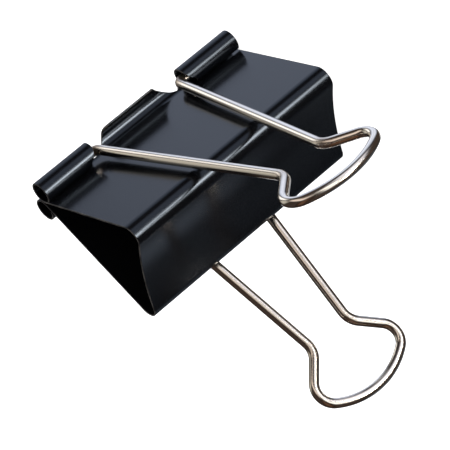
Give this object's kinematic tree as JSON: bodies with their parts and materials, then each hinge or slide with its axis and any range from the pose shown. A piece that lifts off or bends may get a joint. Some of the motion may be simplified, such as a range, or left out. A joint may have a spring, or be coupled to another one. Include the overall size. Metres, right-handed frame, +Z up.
{
  "type": "binder clip",
  "caption": "Folded spring-steel binder clip with rolled jaw edges and folding wire handles; clamps a stack of sheets and springs shut when the handles are let go.",
  "frame": {"origin": "middle of the clip's outline on the surface that it stands on: the clip stands on one end of its folded sheet, with the handles folded back", "axes": "+Z up along the rolled edges, which is the width of the clip; -Y the way the jaws face; +X across the clip, from the left jaw to the right jaw, so X = 0 is the clamping plane"},
  "size_m": [0.0652, 0.0642, 0.051],
  "materials": {
    "black_enamel": "high gloss black enamel on spring steel",
    "nickel_wire": "bright nickel-plated wire"
  },
  "bodies": {
    "spine": {"spine_strip": "black_enamel"},
    "left_jaw": {"left_jaw": "black_enamel"},
    "right_jaw": {"right_jaw": "black_enamel"},
    "left_handle": {"left_handle": "nickel_wire"},
    "right_handle": {"right_handle": "nickel_wire"}
  },
  "joints": [
    {"name": "left_jaw_open", "type": "hinge", "parent": "spine", "child": "left_jaw", "pos_m": [-0.00963, -0.00054, 0.0255], "axis": [0, 0, -1], "range_deg": [0, 24], "stiffness_Nm_per_rad": 2.5, "springref_deg": -8.59},
    {"name": "right_jaw_open", "type": "hinge", "parent": "spine", "child": "right_jaw", "pos_m": [0.00963, -0.00054, 0.0255], "axis": [0, 0, 1], "range_deg": [0, 24], "stiffness_Nm_per_rad": 2.5, "springref_deg": -8.59},
    {"name": "left_handle_fold", "type": "hinge", "parent": "left_jaw", "child": "left_handle", "pos_m": [-0.00242, -0.02974, 0.0255], "axis": [0, 0, 1], "range_deg": [-0.9, 154.7]},
    {"name": "right_handle_fold", "type": "hinge", "parent": "right_jaw", "child": "right_handle", "pos_m": [0.00242, -0.02974, 0.0255], "axis": [0, 0, -1], "range_deg": [-1.7, 153.9]}
  ],
  "couplings": [
    {"joint": "right_jaw_open", "follows": "left_jaw_open", "ratio": 1}
  ]
}
